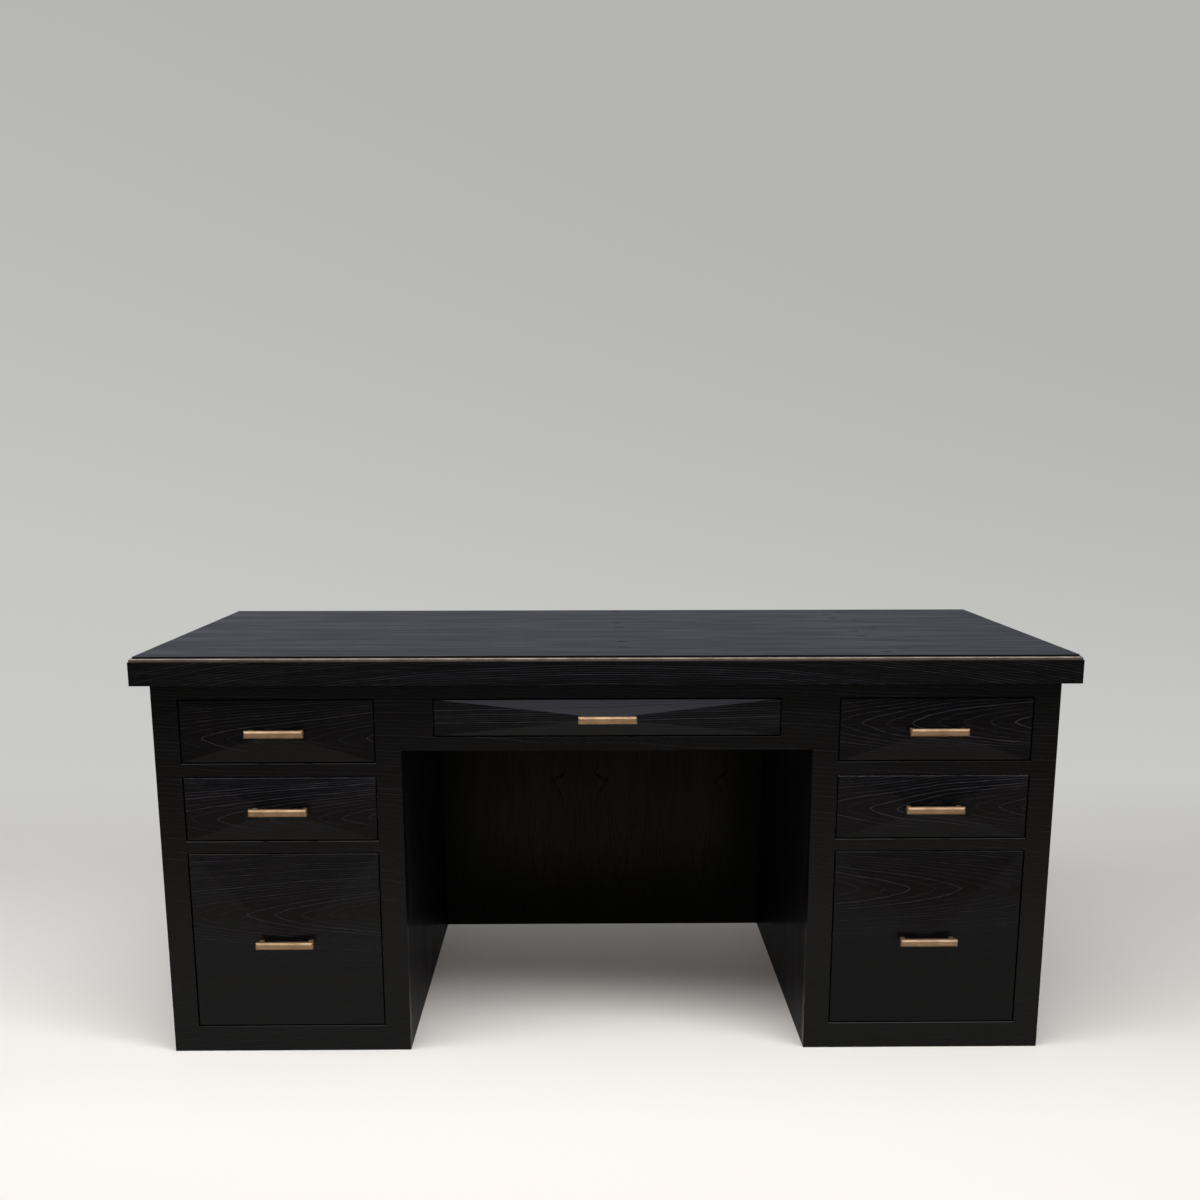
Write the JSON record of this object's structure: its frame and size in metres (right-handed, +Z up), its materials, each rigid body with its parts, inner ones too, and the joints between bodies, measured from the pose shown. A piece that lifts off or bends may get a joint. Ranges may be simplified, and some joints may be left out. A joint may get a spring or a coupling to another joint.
{
  "type": "pedestal desk",
  "caption": "Dark wood pedestal desk with faceted inset drawer fronts, bevelled bar pulls, a brass bead round the thick top and a kneehole closed at the back.",
  "frame": {"origin": "on the floor under the middle of the desk, midway between the front of the pulls and the back edge of the top", "axes": "+X to the right as seen from the chair, along the width; +Y from the drawer fronts to the back; +Z up"},
  "size_m": [1.676, 0.7684, 0.749],
  "materials": {
    "ebonised_wood": "black stain, satin lacquer, open grain",
    "drawer_wood": "clear satin lacquer",
    "core_wood": "sanded, bare",
    "brass": "aged, satin",
    "slide_steel": "zinc plated"
  },
  "bodies": {
    "carcass": {"top_panel": "ebonised_wood", "top_core": "core_wood", "edge_band_front": "ebonised_wood", "edge_band_back": "ebonised_wood", "edge_band_left": "ebonised_wood", "edge_band_right": "ebonised_wood", "brass_bead": "brass", "kneehole_panel": "ebonised_wood", "center_dust_panel": "core_wood", "center_face_frame": "ebonised_wood", "slide_cabinet_members": "slide_steel", "slide_packers": "core_wood", "left_outer_side": "ebonised_wood", "left_inner_side": "ebonised_wood", "left_back": "ebonised_wood", "left_bottom": "core_wood", "left_top_cleats": "core_wood", "left_face_frame": "ebonised_wood", "right_outer_side": "ebonised_wood", "right_inner_side": "ebonised_wood", "right_back": "ebonised_wood", "right_bottom": "core_wood", "right_top_cleats": "core_wood", "right_face_frame": "ebonised_wood"},
    "drawer_left_upper": {"drawer_front_left_upper": "ebonised_wood", "pull_left_upper": "brass", "drawer_box_left_upper": "drawer_wood", "slide_drawer_left_upper": "slide_steel"},
    "slides_left_upper": {"slide_middle_left_upper": "slide_steel"},
    "drawer_left_middle": {"drawer_front_left_middle": "ebonised_wood", "pull_left_middle": "brass", "drawer_box_left_middle": "drawer_wood", "slide_drawer_left_middle": "slide_steel"},
    "slides_left_middle": {"slide_middle_left_middle": "slide_steel"},
    "drawer_left_file": {"drawer_front_left_file": "ebonised_wood", "pull_left_file": "brass", "drawer_box_left_file": "drawer_wood", "slide_drawer_left_file": "slide_steel"},
    "slides_left_file": {"slide_middle_left_file": "slide_steel"},
    "drawer_right_upper": {"drawer_front_right_upper": "ebonised_wood", "pull_right_upper": "brass", "drawer_box_right_upper": "drawer_wood", "slide_drawer_right_upper": "slide_steel"},
    "slides_right_upper": {"slide_middle_right_upper": "slide_steel"},
    "drawer_right_middle": {"drawer_front_right_middle": "ebonised_wood", "pull_right_middle": "brass", "drawer_box_right_middle": "drawer_wood", "slide_drawer_right_middle": "slide_steel"},
    "slides_right_middle": {"slide_middle_right_middle": "slide_steel"},
    "drawer_right_file": {"drawer_front_right_file": "ebonised_wood", "pull_right_file": "brass", "drawer_box_right_file": "drawer_wood", "slide_drawer_right_file": "slide_steel"},
    "slides_right_file": {"slide_middle_right_file": "slide_steel"},
    "drawer_center": {"drawer_front_center": "ebonised_wood", "pull_center": "brass", "drawer_box_center": "drawer_wood", "slide_drawer_center": "slide_steel"},
    "slides_center": {"slide_middle_center": "slide_steel"}
  },
  "joints": [
    {"name": "left_upper_drawer_slide", "type": "slide", "parent": "carcass", "child": "drawer_left_upper", "axis": [0, -1, 0], "range_m": [0, 0.55]},
    {"name": "left_upper_middle_slide", "type": "slide", "parent": "carcass", "child": "slides_left_upper", "axis": [0, -1, 0], "range_m": [0, 0.275]},
    {"name": "left_middle_drawer_slide", "type": "slide", "parent": "carcass", "child": "drawer_left_middle", "axis": [0, -1, 0], "range_m": [0, 0.55]},
    {"name": "left_middle_middle_slide", "type": "slide", "parent": "carcass", "child": "slides_left_middle", "axis": [0, -1, 0], "range_m": [0, 0.275]},
    {"name": "left_file_drawer_slide", "type": "slide", "parent": "carcass", "child": "drawer_left_file", "axis": [0, -1, 0], "range_m": [0, 0.55]},
    {"name": "left_file_middle_slide", "type": "slide", "parent": "carcass", "child": "slides_left_file", "axis": [0, -1, 0], "range_m": [0, 0.275]},
    {"name": "right_upper_drawer_slide", "type": "slide", "parent": "carcass", "child": "drawer_right_upper", "axis": [0, -1, 0], "range_m": [0, 0.55]},
    {"name": "right_upper_middle_slide", "type": "slide", "parent": "carcass", "child": "slides_right_upper", "axis": [0, -1, 0], "range_m": [0, 0.275]},
    {"name": "right_middle_drawer_slide", "type": "slide", "parent": "carcass", "child": "drawer_right_middle", "axis": [0, -1, 0], "range_m": [0, 0.55]},
    {"name": "right_middle_middle_slide", "type": "slide", "parent": "carcass", "child": "slides_right_middle", "axis": [0, -1, 0], "range_m": [0, 0.275]},
    {"name": "right_file_drawer_slide", "type": "slide", "parent": "carcass", "child": "drawer_right_file", "axis": [0, -1, 0], "range_m": [0, 0.55]},
    {"name": "right_file_middle_slide", "type": "slide", "parent": "carcass", "child": "slides_right_file", "axis": [0, -1, 0], "range_m": [0, 0.275]},
    {"name": "center_drawer_slide", "type": "slide", "parent": "carcass", "child": "drawer_center", "axis": [0, -1, 0], "range_m": [0, 0.55]},
    {"name": "center_middle_slide", "type": "slide", "parent": "carcass", "child": "slides_center", "axis": [0, -1, 0], "range_m": [0, 0.275]}
  ],
  "couplings": [
    {"joint": "left_upper_middle_slide", "follows": "left_upper_drawer_slide", "ratio": 0.5},
    {"joint": "left_middle_middle_slide", "follows": "left_middle_drawer_slide", "ratio": 0.5},
    {"joint": "left_file_middle_slide", "follows": "left_file_drawer_slide", "ratio": 0.5},
    {"joint": "right_upper_middle_slide", "follows": "right_upper_drawer_slide", "ratio": 0.5},
    {"joint": "right_middle_middle_slide", "follows": "right_middle_drawer_slide", "ratio": 0.5},
    {"joint": "right_file_middle_slide", "follows": "right_file_drawer_slide", "ratio": 0.5},
    {"joint": "center_middle_slide", "follows": "center_drawer_slide", "ratio": 0.5}
  ]
}
